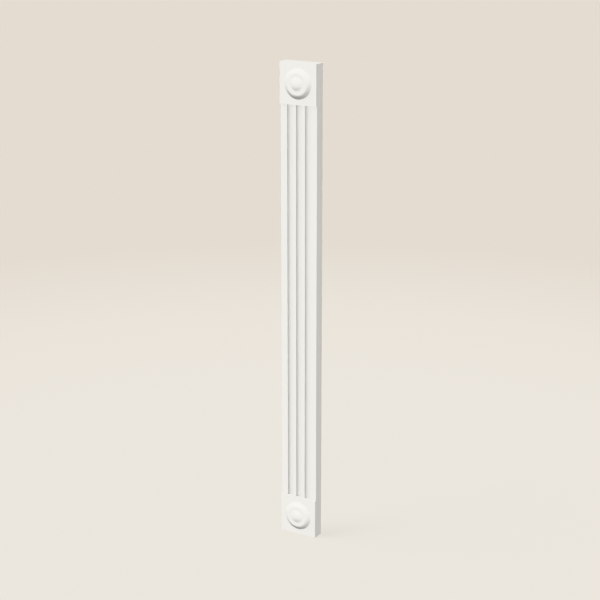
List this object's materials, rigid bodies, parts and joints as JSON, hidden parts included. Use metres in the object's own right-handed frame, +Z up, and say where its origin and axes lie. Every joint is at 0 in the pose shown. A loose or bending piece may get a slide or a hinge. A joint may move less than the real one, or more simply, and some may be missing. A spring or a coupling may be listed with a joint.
{
  "type": "pilaster",
  "caption": "Tall flat-backed wall pilaster: a fluted shaft butted between square blocks with turned rosettes, to frame a doorway or panel.",
  "frame": {"origin": "middle of the lower edge of the flat back, where the wall face meets the foot", "axes": "+Z up the shaft, +Y into the wall, so the front faces -Y, and +X to the viewer's right"},
  "size_m": [0.178, 0.0725, 2.134],
  "materials": {
    "primed_moulding": "matte"
  },
  "bodies": {
    "root": {"base_block": "primed_moulding", "fluted_shaft": "primed_moulding", "head_block": "primed_moulding"}
  },
  "joints": []
}
